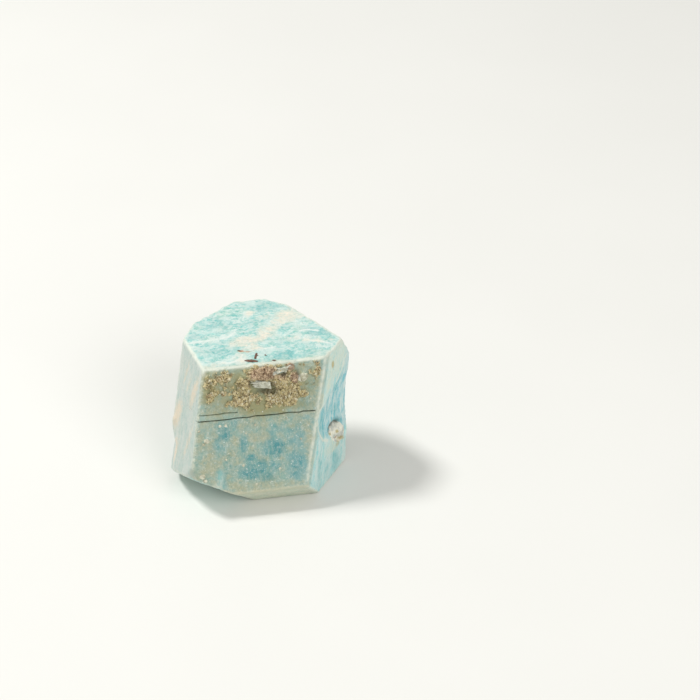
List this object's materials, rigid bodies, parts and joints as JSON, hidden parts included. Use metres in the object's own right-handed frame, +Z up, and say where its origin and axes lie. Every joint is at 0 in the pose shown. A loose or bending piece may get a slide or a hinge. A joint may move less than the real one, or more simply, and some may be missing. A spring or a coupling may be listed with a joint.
{
  "type": "amazonite crystal",
  "caption": "Loose blocky amazonite crystal with cleaved top and base, a crusted front, cleavage cracks and a fracture hollow.",
  "frame": {"origin": "middle of the crystal's box in plan, at the height of the flat cleavage it rests on", "axes": "+Z up, square to the base and top cleavages; +X along the front face's top edge, to the right; -Y towards the crusted front face"},
  "size_m": [0.0374, 0.0326, 0.0285],
  "materials": {
    "amazonite": "satin"
  },
  "bodies": {
    "root": {"amazonite_crystal": "amazonite"}
  },
  "joints": []
}
